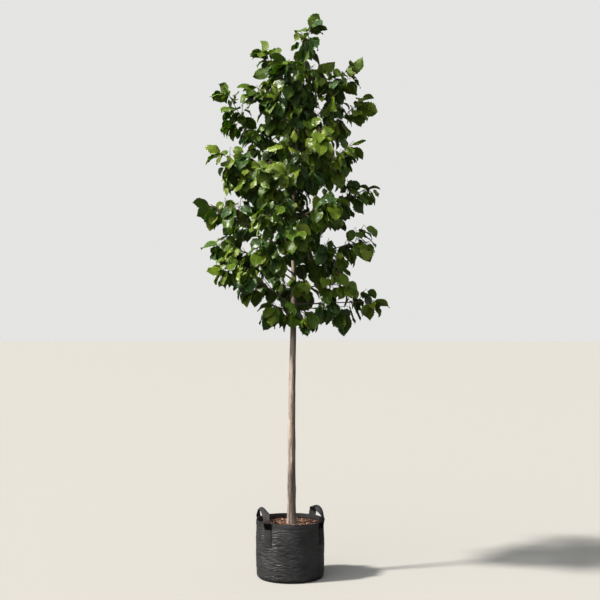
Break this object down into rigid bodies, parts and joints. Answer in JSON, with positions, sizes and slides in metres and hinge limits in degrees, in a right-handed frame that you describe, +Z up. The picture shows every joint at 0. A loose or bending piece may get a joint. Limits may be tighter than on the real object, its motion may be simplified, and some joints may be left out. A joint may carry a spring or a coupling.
{
  "type": "sapling in a fabric planter bag",
  "caption": "Young broadleaf tree with a clear straight trunk and a narrow leafy crown, its root ball in a soft black woven planter bag with strap handles.",
  "frame": {"origin": "centre of the bag's flat underside", "axes": "+Z up along the trunk, -Y the front, +X to the right seen from the front"},
  "size_m": [1.1012, 1.0151, 3.0997],
  "materials": {
    "bag_fabric": "satin black woven sheet",
    "webbing": "black woven webbing",
    "bark_mulch": "loose reddish-brown bark mulch",
    "bark": "smooth grey-brown bark",
    "foliage": "glossy deep green leaves"
  },
  "bodies": {
    "root": {"bough_back_left": "bark", "bough_back_mid": "bark", "bough_back_right_high": "bark", "bough_front_left": "bark", "bough_front_left_high": "bark", "bough_left_high": "bark", "bough_left_high_back": "bark", "bough_left_high_front": "bark", "bough_left_low": "bark", "bough_left_low_front": "bark", "bough_left_mid": "bark", "bough_left_top": "bark", "bough_right_high": "bark", "bough_right_high_front": "bark", "bough_right_low": "bark", "bough_right_mid": "bark", "bough_right_mid_low": "bark", "bough_right_top": "bark", "foliage_back_left": "foliage", "foliage_back_left_high": "foliage", "foliage_back_low": "foliage", "foliage_back_low_right": "foliage", "foliage_back_mid": "foliage", "foliage_back_right_high": "foliage", "foliage_back_top": "foliage", "foliage_front_foot": "foliage", "foliage_front_high": "foliage", "foliage_front_inner": "foliage", "foliage_front_left": "foliage", "foliage_front_left_high": "foliage", "foliage_front_low_left": "foliage", "foliage_front_mid": "foliage", "foliage_front_right": "foliage", "foliage_front_right_high": "foliage", "foliage_front_top": "foliage", "foliage_leader": "foliage", "foliage_left_high": "foliage", "foliage_left_high_back": "foliage", "foliage_left_high_front": "foliage", "foliage_left_inner_top": "foliage", "foliage_left_low": "foliage", "foliage_left_low_front": "foliage", "foliage_left_mid": "foliage", "foliage_left_skirt": "foliage", "foliage_left_top": "foliage", "foliage_right_high": "foliage", "foliage_right_high_front": "foliage", "foliage_right_inner_top": "foliage", "foliage_right_low": "foliage", "foliage_right_low_front": "foliage", "foliage_right_mid": "foliage", "foliage_right_mid_low": "foliage", "foliage_right_top": "foliage", "handle_left": "webbing", "handle_right": "webbing", "planter_bag": "bag_fabric", "soil": "bark_mulch", "trunk": "bark"}
  },
  "joints": []
}
